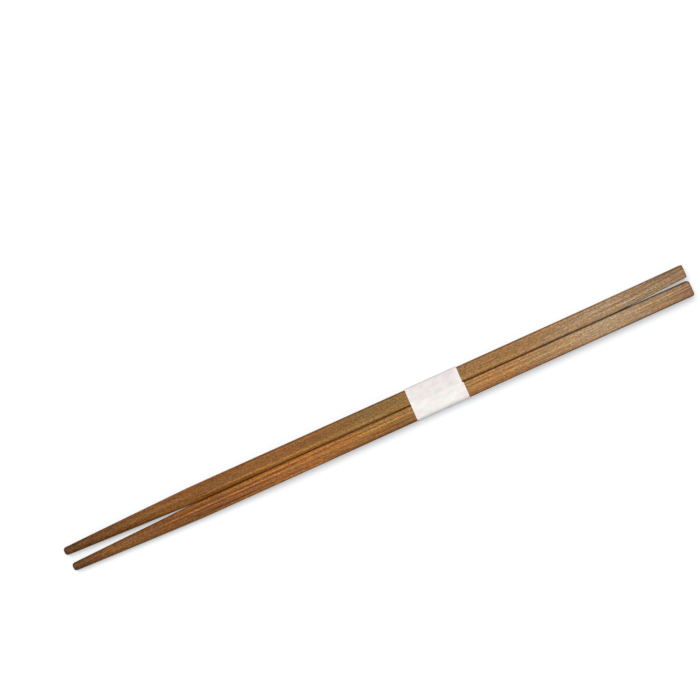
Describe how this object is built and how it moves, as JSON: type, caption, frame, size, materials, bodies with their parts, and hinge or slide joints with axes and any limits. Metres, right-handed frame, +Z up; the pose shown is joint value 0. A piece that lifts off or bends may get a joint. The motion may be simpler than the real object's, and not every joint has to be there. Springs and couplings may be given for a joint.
{
  "type": "pair of bamboo chopsticks",
  "caption": "Square bamboo chopsticks with sanded round tips, lying side by side in a glued white paper band.",
  "frame": {"origin": "middle of the pair in X and Y, on the surface that the paper band rests on", "axes": "+X along the sticks from the tips to the handle ends, +Y from the near stick to the far one, +Z up"},
  "size_m": [0.24, 0.0124, 0.0064],
  "materials": {
    "bamboo_far": "satin",
    "bamboo_near": "satin",
    "band_paper": "matte"
  },
  "bodies": {
    "root": {"chopstick_far": "bamboo_far", "chopstick_near": "bamboo_near", "paper_band": "band_paper"}
  },
  "joints": []
}
